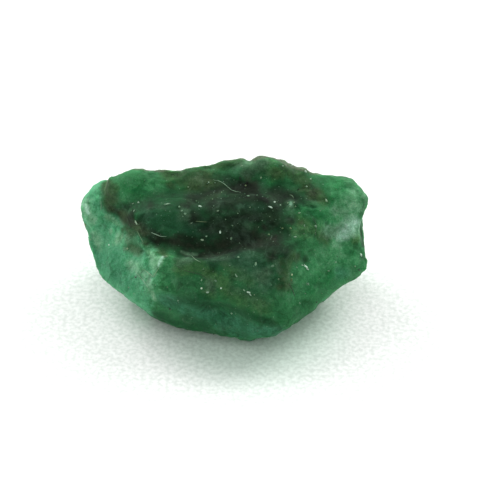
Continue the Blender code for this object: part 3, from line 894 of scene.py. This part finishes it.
# %% The emerald's surface
EMERALD_IOR = 1.58
WORN_GLOSS = 0.07
LIGHT_REACH = 0.8
REACH_OF_COLOURS = (0.5, 1.0, 0.6)
WAXIEST = 0.45
ROUGHEST = 0.7
GRAIN_RELIEF = 0.05
height = math_node(tree, "MULTIPLY_ADD", noises["Grain"], 0.35, noises["Crumbs"])
grain = put(tree, "ShaderNodeBump", {"Height": height, "Strength": 0.35, "Distance": GRAIN_RELIEF * MM})
fill(tree, surface, {
    "IOR": EMERALD_IOR,
    "Specular IOR Level": WORN_GLOSS,
    "Subsurface Weight": 1.0,
    "Subsurface Radius": REACH_OF_COLOURS,
    "Subsurface Scale": LIGHT_REACH * MM,
    "Roughness": spread(tree, noises["Patches"], WAXIEST, ROUGHEST),
    "Normal": grain.outputs[0],
})
print("light goes", LIGHT_REACH, "mm into the stone")

# %% [markdown]
# Small flakes of mica and quartz lie in the skin and flash white. The ones that can be told apart are
# marked on the leaning side: across, uphill, length, width, turn in degrees, tone and warmth.
# A tone of 1 is white, 0 is a dull green, -1 is black. Warmth turns a fleck yellow or brown.

# %% Marked flecks
FLECKS = (
    (-1.61, 2.84, 0.29, 0.09, -10, 0.9, 0), (-0.23, 1.07, 0.24, 0.12, 75, 0.9, 0),
    (-1.45, 0.55, 0.24, 0.12, -20, 0.7, 0.3), (-1.17, 0.79, 0.12, 0.09, 0, 0.6, 0),
    (-5.96, 1.74, 0.35, 0.09, 85, 0.7, 0.2), (-5.84, 3.11, 0.12, 0.12, 0, 0.7, 0),
    (-6.21, 3.04, 0.24, 0.07, 15, 0.4, 0), (-3.83, 2.98, 0.47, 0.06, -8, 0.6, 0),
    (-3.02, 2.81, 0.15, 0.12, 0, 0.5, 0), (-2.45, 4.19, 0.12, 0.09, 0, 0.5, 0.3),
    (-1.04, 4.51, 0.09, 0.09, 0, 0.7, 0), (-0.39, 2.53, 0.18, 0.12, 0, 0.4, 0.2),
    (-7.94, 0.21, 0.12, 0.12, 0, 1, 0), (-6.11, 2.53, 0.18, 0.06, 80, 0.5, 0),
    (-1.48, -2.73, 0.15, 0.15, 0, 0.95, 0.2), (-0.16, -2.73, 0.12, 0.12, 0, 1, 0),
    (-1.07, -3, 0.18, 0.12, -10, 0.75, 0), (-1.48, -2.17, 0.18, 0.09, 80, 0.45, 0),
    (-3.07, -3.56, 0.12, 0.12, 0, 0.5, 0), (0.55, -4.44, 0.15, 0.12, 0, 0.6, 0),
    (-0.53, -2.21, 0.18, 0.15, 0, 0.2, 0), (0.51, 0.65, 0.29, 0.15, 70, 0.45, 0.1),
    (-9.32, 0.58, 0.12, 0.12, 0, 0.4, 0), (-6.6, -0.04, 0.18, 0.12, 0, 0.6, 0.4),
    (-3.88, -0.58, 0.24, 0.09, 30, 0.4, 0.2), (0.42, -1.18, 0.12, 0.06, 0, 0.3, 0),
    (-1.36, -1.43, 0.12, 0.07, 0, 0.3, 0), (3.18, 2.8, 0.35, 0.09, -25, 0.95, 0),
    (3.48, 3.14, 0.18, 0.13, 60, 0.75, 0), (3.88, 2.93, 0.12, 0.09, 0, 0.5, 0),
    (1.67, 3.55, 0.24, 0.07, -15, 0.55, 0), (7.04, 3.27, 0.29, 0.13, 100, 0.6, 0.2),
    (5.98, 4.75, 0.12, 0.12, 0, 0.6, 0), (5.7, 4.23, 0.12, 0.12, 0, 0.6, 0),
    (5.63, 5.29, 0.18, 0.12, 0, 1, 0), (4.71, 5.72, 0.12, 0.12, 0, 0.9, 0),
    (4.06, 5.65, 0.12, 0.09, 0, 0.7, 0), (2.56, 4.84, 0.18, 0.12, 80, 0.5, 0.2),
    (1.5, 4.29, 0.12, 0.12, 0, 0.5, 0.8), (4.01, 1.34, 0.15, 0.09, 0, 0.5, 0.8),
    (4.57, 1.34, 0.15, 0.09, 0, 0.5, 0.8), (3.09, 0.92, 0.15, 0.12, 0, 0.4, 0.5),
    (4.87, 0.76, 0.24, 0.07, -10, 0.6, 0), (5.51, 1.52, 0.18, 0.09, 80, 0.4, 0),
    (6.27, 1.49, 0.18, 0.18, 0, 0.35, 0), (2.19, -1.08, 0.29, 0.15, 95, 0.35, 0),
    (1.01, -0.62, 0.15, 0.15, 0, 0.4, 0), (3.33, -1.22, 0.21, 0.18, 0, 0.15, 0),
    (5.61, -1.27, 0.35, 0.13, -20, 1, 0), (5.72, -1.45, 0.24, 0.06, -20, 0.9, 0),
    (5.36, -1.18, 0.18, 0.06, 0, 0.8, 0), (4.96, -1.32, 0.12, 0.09, 0, 0.5, 0),
    (7.68, -0.98, 0.12, 0.09, 0, 0.6, 0), (7.19, -1.57, 0.18, 0.09, -10, 0.45, 0),
    (9.04, -1.27, 0.12, 0.12, 0, 0.5, 0), (9.48, -0.47, 0.24, 0.12, 80, 1, 0),
    (4.64, -1.82, 0.18, 0.12, 70, 0.7, 0.6), (0.86, -1.86, 0.29, 0.07, -45, 0.6, 0),
    (1.7, -3, 0.29, 0.11, -30, 0.8, 0), (1.4, -2.86, 0.18, 0.09, -20, 0.5, 0),
    (1.83, -3.16, 0.24, 0.07, -35, 0.75, 0), (5.74, -2.46, 0.24, 0.18, 0, 0.15, 0),
    (5.18, -3.76, 0.12, 0.12, 0, 0.35, 0), (4.39, 3.08, 0.12, 0.09, 60, 0.45, 0.3),
    (4.53, 2.84, 0.12, 0.09, 0, 0.5, 0.3), (4.81, 3.11, 0.12, 0.09, 30, 0.45, 0.3),
    (4.91, 2.84, 0.09, 0.09, 0, 0.5, 0.2), (5.16, 2.39, 0.18, 0.12, 0, 0.4, 0.3),
    (3.73, -2.12, 0.12, 0.12, 0, 0.3, 0.3), (0.14, 1.94, 0.09, 0.07, 0, 0.4, 0.3),
    (0.97, 2.35, 0.09, 0.07, 0, 0.4, 0.3), (1.8, 2.77, 0.09, 0.07, 0, 0.4, 0.4),
    (2.63, 1.87, 0.09, 0.07, 0, 0.35, 0.3), (0.62, 1.52, 0.09, 0.07, 0, 0.4, 0.3),
    (-0.76, 3.32, 0.09, 0.07, 0, 0.4, 0.4), (-0.14, 3.81, 0.09, 0.07, 0, 0.35, 0.3),
    (2.28, 3.6, 0.09, 0.07, 0, 0.4, 0), (-5.98, -1.99, 0.18, 0.12, 0, -0.8, 0),
    (-3.66, -4.15, 0.15, 0.12, 0, -0.9, 0), (6.35, -3.7, 0.12, 0.12, 0, -0.9, 0),
    (9.34, -1.52, 0.18, 0.12, 0, -0.5, 0), (4.62, -2.15, 0.24, 0.12, 80, 0.15, 1),
    (1.59, 4.5, 0.18, 0.12, 20, -0.9, 0.6), (1.11, 4.84, 0.12, 0.12, 0, -0.9, 0),
    (5.12, 4.01, 0.18, 0.07, 45, -0.7, 0), (-9.67, 1.63, 0.29, 0.13, 75, 0.35, 1),
    (-2.84, 2.53, 0.18, 0.12, 30, 0.35, 0), (-2.63, 2.32, 0.18, 0.15, -20, 0.4, 0),
    (-2.77, 2.15, 0.12, 0.09, 0, 0.3, 0),
)
print(len(FLECKS), "marked flecks")

# %% [markdown]
# A ray cast from outwards finds each mark's place on the stone, and which way the skin faces there.
# What a mark needs later, such as its size and its tone, is stored with its point under a name.

# %% Find a place on the stone
FAR = 30
corners_of_stone = [point.co for point in mesh.vertices]
faces_of_stone = BVHTree.FromPolygons(corners_of_stone, [face.vertices[:] for face in mesh.polygons])


def on_the_stone(x, y):
    """The stone's surface and its normal at a place across and uphill, seen from outwards."""
    start = STONE_MIDDLE + across * x + uphill * y + outwards * FAR
    return faces_of_stone.ray_cast(start, -outwards)[:2]


def store(mesh, values):
    """Stores named numbers or vectors for each point of a mesh."""
    for name, rows in values.items():
        rows = np.array(rows, np.float32)
        kind, key = ("FLOAT_VECTOR", "vector") if rows.ndim == 2 else ("FLOAT", "value")
        mesh.attributes.new(name, kind, "POINT").data.foreach_set(key, rows.ravel())


print("the middle of the leaning side lies at", [round(value, 2) for value in on_the_stone(0, 0)[0]])

# %% [markdown]
# A real fleck is seldom one clean flake. Each mark gets one full grain and three smaller ones close
# beside it, each turned a little. Chance is drawn from a fixed seed, so every run gives the same.

# %% Lay the grains of the marked flecks
FLECK_THICKNESS = 0.06
GRAINS_OF_A_FLECK = 4
SMALLEST_SHARE = 0.3
LARGEST_SHARE = 0.55
STRAY = 0.7
MOST_SKEW = 0.5
TONE_OF_SMALL_GRAINS = 0.8
dice = random.Random(3)
spots = []
marks = {"turn": [], "size": [], "tone": [], "warmth": []}
for x, y, length, width, turn, tone, warmth in FLECKS:
    place, normal = on_the_stone(x, y)
    if place is None:
        print("off the stone:", x, y)
        continue
    turn = math.radians(turn)
    along = across * math.cos(turn) + uphill * math.sin(turn)
    side = normal.cross(along).normalized()
    for number in range(GRAINS_OF_A_FLECK):
        share = 1.0 if number == 0 else dice.uniform(SMALLEST_SHARE, LARGEST_SHARE)
        aside = 0.0 if number == 0 else 1.0 - share
        middle = place + side.cross(normal) * aside * length * dice.uniform(-STRAY, STRAY)
        middle += side * aside * width * dice.uniform(-STRAY, STRAY)
        skew = Matrix.Rotation(dice.uniform(-MOST_SKEW, MOST_SKEW), 3, normal)
        facing_out = Matrix((side.cross(normal), side, normal)).transposed()
        spots.append(middle)
        marks["turn"].append(tuple((skew @ facing_out).to_euler()))
        marks["size"].append((length * share / 2, width * share / 2, FLECK_THICKNESS * share))
        marks["tone"].append(tone * (1.0 if number == 0 else TONE_OF_SMALL_GRAINS))
        marks["warmth"].append(warmth)
fleck_mesh = bpy.data.meshes.new("light_flecks")
fleck_mesh.from_pydata(spots, [], [])
store(fleck_mesh, marks)
print("the marked flecks have", len(spots), "grains")

# %% [markdown]
# Many more flecks are too small to mark. Geometry Nodes scatter them over the whole stone with a fixed
# seed, more of them on the dark mica, and give them the same named values. One chip, a low cone cut
# off at its top with six sides, is then set on every spot, marked or scattered.

# %% Scatter and set the flecks
def flecks_tree():
    """A tree that scatters spots over the stone, joins the marked ones, and sets a chip on each."""
    sizes = {
        "Geometry": "NodeSocketGeometry",
        "Stone": "NodeSocketObject",
        "Material": "NodeSocketMaterial",
        "Flecks In A Square Millimetre": 0.5,
        "More On Mica": 0.8,
        "Smallest": 0.015,
        "Largest": 0.055,
        "Brightest": 0.32,
        "Seed": 11,
    }
    tree, given, result = new_tree("flecks", "GeometryNodeTree", sizes, GEOMETRY_OUT)

    def chance(low, high, seed):
        between = {2: low, 3: high, "Seed": seed}
        return put(tree, "FunctionNodeRandomValue", between, data_type="FLOAT").outputs[1]

    def named(name, kind="FLOAT"):
        return put(tree, "GeometryNodeInputNamedAttribute", {"Name": name}, data_type=kind).outputs[0]

    skin = put(tree, "GeometryNodeObjectInfo", {"Object": given["Stone"]}).outputs["Geometry"]
    mica = smooth_step(tree, named("dark"), -0.3, 0.5)
    everywhere = given["Flecks In A Square Millimetre"]
    density = math_node(tree, "MULTIPLY_ADD", mica, given["More On Mica"], everywhere)
    scatter = {"Mesh": skin, "Density": density, "Seed": given["Seed"]}
    spots = put(tree, "GeometryNodeDistributePointsOnFaces", scatter)
    spin = put(tree, "ShaderNodeCombineXYZ", {2: chance(0.0, math.tau, 1)}).outputs[0]
    spin = put(tree, "FunctionNodeEulerToRotation", {0: spin}).outputs[0]
    flat = {0: spots.outputs["Rotation"], 1: spin}
    turned = put(tree, "FunctionNodeRotateRotation", flat, rotation_space="LOCAL").outputs[0]
    turned = put(tree, "FunctionNodeRotationToEuler", {0: turned}).outputs[0]
    half = chance(given["Smallest"], given["Largest"], 2)
    narrow = math_node(tree, "MULTIPLY", half, chance(0.2, 1.0, 3))
    size = put(tree, "ShaderNodeCombineXYZ", {0: half, 1: narrow, 2: half}).outputs[0]
    scattered = spots.outputs["Points"]
    values = {
        "turn": (turned, "FLOAT_VECTOR"),
        "size": (size, "FLOAT_VECTOR"),
        "tone": (chance(0.0, given["Brightest"], 4), "FLOAT"),
        "warmth": (chance(0.0, 0.5, 5), "FLOAT"),
    }
    for name, (value, kind) in values.items():
        kept = {"Geometry": scattered, "Name": name, "Value": value}
        stored = put(tree, "GeometryNodeStoreNamedAttribute", kept, data_type=kind, domain="POINT")
        scattered = stored.outputs[0]
    both = put(tree, "GeometryNodeJoinGeometry")
    tree.links.new(scattered, both.inputs[0])
    tree.links.new(given["Geometry"], both.inputs[0])
    cone = {"Vertices": 6, "Radius Top": 0.55, "Radius Bottom": 1.0, "Depth": 1.0}
    chip = put(tree, "GeometryNodeMeshCone", cone).outputs[0]
    turn = put(tree, "FunctionNodeEulerToRotation", {0: named("turn", "FLOAT_VECTOR")}).outputs[0]
    chips = put(tree, "GeometryNodeInstanceOnPoints", {
        "Points": both.outputs[0],
        "Instance": chip,
        "Rotation": turn,
        "Scale": named("size", "FLOAT_VECTOR"),
    }).outputs[0]
    finish(tree, chips, given["Material"], result["Geometry"])
    return tree


fleck_tree = flecks_tree()
print("flecks tree of", len(fleck_tree.nodes), "nodes")

# %% [markdown]
# Both kinds of small things on the stone are made alike: a tree runs on the marks, its result becomes
# plain mesh in metres, and the piece rides with the stone.

# %% Make the flecks
def small_thing(mesh, tree, values):
    """Makes a small piece on the stone with a Geometry Nodes tree, as plain mesh, in metres."""
    thing = bpy.data.objects.new(mesh.name, mesh)
    scene.collection.objects.link(thing)
    maker = thing.modifiers.new(mesh.name, "NODES")
    maker.node_group = tree
    set_inputs(maker, values)
    made = work_in(thing)
    made.transform(Matrix.Scale(MM, 4))
    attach(thing, "root")
    print(thing.name, "has", len(made.polygons), "faces")


fleck_skin = bpy.data.materials.new("flecks")
small_thing(fleck_mesh, fleck_tree, {"Stone": stone, "Material": fleck_skin})

# %% [markdown]
# Fine threads of quartz and scratches follow the surface. Each is a line of places, with a tone, a
# warmth and a half width before them.

# %% Threads and scratches
THREADS = (
    (0.6, 0, 0.026, ((-4.98, 1.08), (-4.63, 0.93), (-4.28, 0.79), (-3.88, 0.78))),
    (0.5, 0, 0.021, ((-0.77, 4.73), (-0.57, 4.64), (-0.42, 4.66), (-0.03, 4.46), (0.32, 4.16),
                     (0.51, 3.99), (0.83, 3.88), (1.2, 3.81))),
    (0.5, 0.2, 0.023, ((-2.21, -0.48), (-1.91, -0.78), (-1.48, -0.98))),
    (0.3, 0.9, 0.021, ((-1.93, 1.82), (-1.52, 1.79), (-1.11, 1.77))),
    (0.45, 0.3, 0.021, ((-5.47, -1.43), (-5.05, -1.73), (-4.68, -2.01))),
    (0.45, 0.3, 0.021, ((-4.33, -1.32), (-4.57, -1.66), (-4.78, -2.01))),
    (0.5, 0, 0.023, ((-4.75, -3.11), (-4.76, -3.5))),
    (0.35, 0, 0.023, ((-8.53, 3.32), (-8.49, 2.91), (-8.53, 2.53))),
    (-0.9, 0, 0.026, ((4.42, -2.42), (4.68, -2.84), (4.87, -3.35))),
    (0.35, 0.4, 0.021, ((-5.96, 1.25), (-5.74, 0.83), (-5.52, 0.41))),
    (0.3, 0, 0.021, ((-6.02, -1.59), (-5.4, -2.28), (-4.91, -2.98))),
    (0.35, 0.3, 0.021, ((4.52, 3.67), (4.69, 3.6), (4.82, 3.42))),
    (-0.5, 0, 0.018, ((-3.6, -0.97), (-2.63, -1.52), (-1.52, -1.8), (-0.69, -2.42))),
    (-0.5, 0, 0.018, ((5.95, 2.28), (6.37, 1.52), (6.16, 0.55))),
)
print(len(THREADS), "threads and scratches")

# %% [markdown]
# A tree turns each line into a tube: a ring with six sides runs along it, thickest in the middle and
# drawn to a point at both ends, as a fibre or the mark of a scratch is.

# %% A tree for threads
THREAD_SIDES = 6
THINNEST = 0.02


def threads_tree():
    """A tree that turns lines into thin tubes that taper to their ends."""
    sizes = {
        "Geometry": "NodeSocketGeometry",
        "Material": "NodeSocketMaterial",
        "Sides": THREAD_SIDES,
    }
    tree, given, result = new_tree("threads", "GeometryNodeTree", sizes, GEOMETRY_OUT)
    curve = put(tree, "GeometryNodeMeshToCurve", {"Mesh": given["Geometry"]}).outputs[0]
    share = put(tree, "GeometryNodeSplineParameter").outputs["Factor"]
    bulge = math_node(tree, "SINE", math_node(tree, "MULTIPLY", share, math.pi))
    taper = math_node(tree, "POWER", math_node(tree, "MAXIMUM", bulge, THINNEST), 0.5)
    thickness = put(tree, "GeometryNodeInputNamedAttribute", {"Name": "thickness"}, data_type="FLOAT")
    circle = {"Resolution": given["Sides"], "Radius": 1.0}
    ring = put(tree, "GeometryNodeCurvePrimitiveCircle", circle).outputs[0]
    scale = math_node(tree, "MULTIPLY", taper, thickness.outputs[0])
    tube = {"Curve": curve, "Profile Curve": ring, "Scale": scale, "Fill Caps": True}
    tubes = put(tree, "GeometryNodeCurveToMesh", tube).outputs[0]
    finish(tree, tubes, given["Material"], result["Geometry"])
    return tree


thread_tree = threads_tree()
print("threads tree of", len(thread_tree.nodes), "nodes")

# %% [markdown]
# Each line is cut into short steps, and each step is laid on the stone by a ray, so the thread follows
# every lump under it.

# %% Lay the threads
THREAD_STEP = 0.08
spots = []
edges = []
marks = {"thickness": [], "tone": [], "warmth": []}
for tone, warmth, half_width, line in THREADS:
    corners = np.array(line)
    reach = np.concatenate(((0,), np.cumsum(np.linalg.norm(np.diff(corners, axis=0), axis=1))))
    steps = np.linspace(0, reach[-1], max(int(reach[-1] / THREAD_STEP), 3))
    first = len(spots)
    for step in steps:
        x = np.interp(step, reach, corners[:, 0])
        y = np.interp(step, reach, corners[:, 1])
        place = on_the_stone(x, y)[0]
        if place is not None:
            spots.append(place)
    count = len(spots) - first
    edges += [(first + number, first + number + 1) for number in range(count - 1)]
    marks["thickness"] += [half_width] * count
    marks["tone"] += [tone] * count
    marks["warmth"] += [warmth] * count
thread_mesh = bpy.data.meshes.new("fine_threads")
thread_mesh.from_pydata(spots, edges, [])
store(thread_mesh, marks)
small_thing(thread_mesh, thread_tree, {"Material": fleck_skin})

# %% [markdown]
# Flecks and threads share one finish. Its colour follows the tone from black over dull green to white,
# and the warmth tints it. It is smoother than the stone, so that a chip flashes where it faces a lamp.

# %% The finish of flecks and threads
DULL = (0.05, 0.14, 0.07, 1.0)
PALE = (0.26, 0.46, 0.28, 1.0)
WHITE = (0.7, 0.92, 0.76, 1.0)
BLACK = (0.003, 0.005, 0.003, 1.0)
WARM = (1.0, 0.82, 0.5, 1.0)
DARKEST_CHIP = 0.65
CHIP_ROUGHNESS = 0.35
fleck_skin.use_nodes = True
tree = fleck_skin.node_tree
surface = tree.nodes["Principled BSDF"]
tone = put(tree, "ShaderNodeAttribute", attribute_name="tone").outputs["Fac"]
warmth = put(tree, "ShaderNodeAttribute", attribute_name="warmth").outputs["Fac"]
colour = mix_colours(tree, smooth_step(tree, tone, -0.1, 0.7), DULL, PALE)
colour = mix_colours(tree, smooth_step(tree, tone, 0.5, 1.0), colour, WHITE)
colour = mix_colours(tree, smooth_step(tree, tone, 0.0, -0.8), colour, BLACK)
colour = mix_colours(tree, warmth, colour, WARM, "MULTIPLY")
cloudy = put(tree, "ShaderNodeGroup", node_tree=mottling_group).outputs["Crumbs"]
shade = smooth_step(tree, cloudy, 0.3, 0.6)
shade = math_node(tree, "MULTIPLY_ADD", shade, 1 - DARKEST_CHIP, DARKEST_CHIP)
colour = mix_colours(tree, 1.0, colour, shade, "MULTIPLY")
fill(tree, surface, {"Base Color": colour, "Roughness": CHIP_ROUGHNESS})
print("flecks and threads share a material of", len(tree.nodes), "nodes")

# %% [markdown]
# Last, the stone itself goes back to metres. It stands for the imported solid, which stays hidden.

# %% Put the stone in its place
mesh.transform(Matrix.Scale(MM, 4))
mesh.shade_smooth()
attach(stone, "root")
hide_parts("emerald")
print(stone.name, "has", len(mesh.polygons), "faces")
